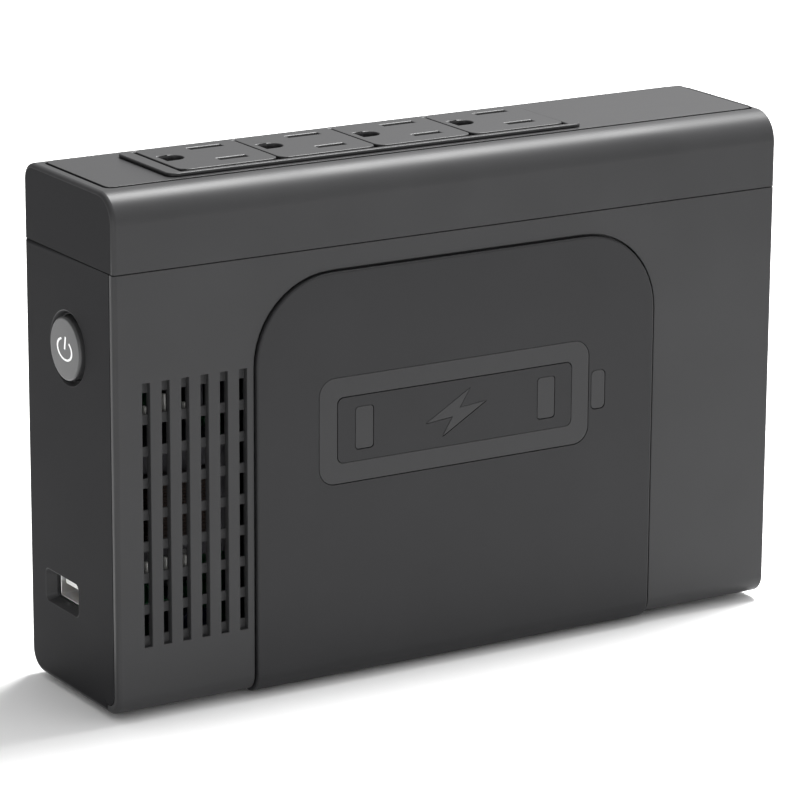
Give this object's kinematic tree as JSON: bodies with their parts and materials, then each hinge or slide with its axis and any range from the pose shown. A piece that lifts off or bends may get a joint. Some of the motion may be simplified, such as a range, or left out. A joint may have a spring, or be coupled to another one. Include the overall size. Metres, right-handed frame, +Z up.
{
  "type": "uninterruptible power supply",
  "caption": "Slim uninterruptible power supply that stands on edge: mains outlets on top, vented front, removable front panel, power button and USB port on one end.",
  "frame": {"origin": "bottom centre of the standing unit, on the surface under its rubber feet", "axes": "+Z up, +X along the length away from the button end, -Y is the vented front with the removable panel"},
  "size_m": [0.1801, 0.0436, 0.1222],
  "materials": {
    "housing_plastic": "satin",
    "plate_plastic": "satin",
    "outlet_plastic": "satin",
    "panel_plastic": "satin",
    "emblem_satin": "satin",
    "insulator_black": "matte",
    "brass": "polished",
    "button_plastic": "satin",
    "white_print": "satin",
    "board_green": "satin",
    "bright_steel": "polished",
    "white_insulator": "satin",
    "core_steel": "matte",
    "copper_winding": "satin",
    "heatsink_aluminium": "satin",
    "capacitor_sleeve": "gloss",
    "relay_blue": "satin",
    "cell_wrap": "gloss",
    "lead_red": "satin",
    "foot_rubber": "matte"
  },
  "bodies": {
    "casing": {"battery_cells": "cell_wrap", "battery_connector": "white_insulator", "battery_leads": "lead_red", "battery_tray": "housing_plastic", "board_screws": "bright_steel", "breaker_body": "insulator_black", "buzzer": "insulator_black", "capacitors": "capacitor_sleeve", "cell_holders": "insulator_black", "cell_links": "bright_steel", "control_board": "board_green", "front_shell": "housing_plastic", "ground_contact_bar": "brass", "heatsink": "heatsink_aluminium", "hot_contact_bar": "brass", "inlet_housing": "insulator_black", "inlet_pins": "brass", "lead_combs": "white_insulator", "main_board": "board_green", "neutral_contact_bar": "brass", "outlet_base": "insulator_black", "outlet_base_cover": "insulator_black", "outlet_face_1": "outlet_plastic", "outlet_face_2": "outlet_plastic", "outlet_face_3": "outlet_plastic", "outlet_face_4": "outlet_plastic", "outlet_strip": "outlet_plastic", "power_transistors": "insulator_black", "protection_board": "board_green", "rear_shell": "housing_plastic", "rubber_feet": "foot_rubber", "shell_screws": "bright_steel", "switch_body": "insulator_black", "top_cover": "housing_plastic", "top_plate": "plate_plastic", "transfer_relays": "relay_blue", "transformer_core": "core_steel", "transformer_strap": "bright_steel", "transformer_winding": "copper_winding", "usb_board": "board_green", "usb_contacts": "brass", "usb_shell": "bright_steel", "usb_tongue": "white_insulator"},
    "button": {"power_button": "button_plastic", "power_icon": "white_print", "switch_plunger": "insulator_black"},
    "panel": {"front_panel": "panel_plastic", "front_emblem": "emblem_satin"},
    "breaker_reset": {"breaker_button": "button_plastic"}
  },
  "joints": [
    {"name": "power_button_press", "type": "slide", "parent": "casing", "child": "button", "axis": [1, 0, 0], "range_m": [0, 0.0012], "stiffness_N_per_m": 600, "springref_m": -0.0005},
    {"name": "front_panel_removal", "type": "slide", "parent": "casing", "child": "panel", "axis": [0, -1, 0], "range_m": [0, 0.03]},
    {"name": "breaker_reset_travel", "type": "slide", "parent": "casing", "child": "breaker_reset", "axis": [1, 0, 0], "range_m": [0, 0.003]}
  ]
}
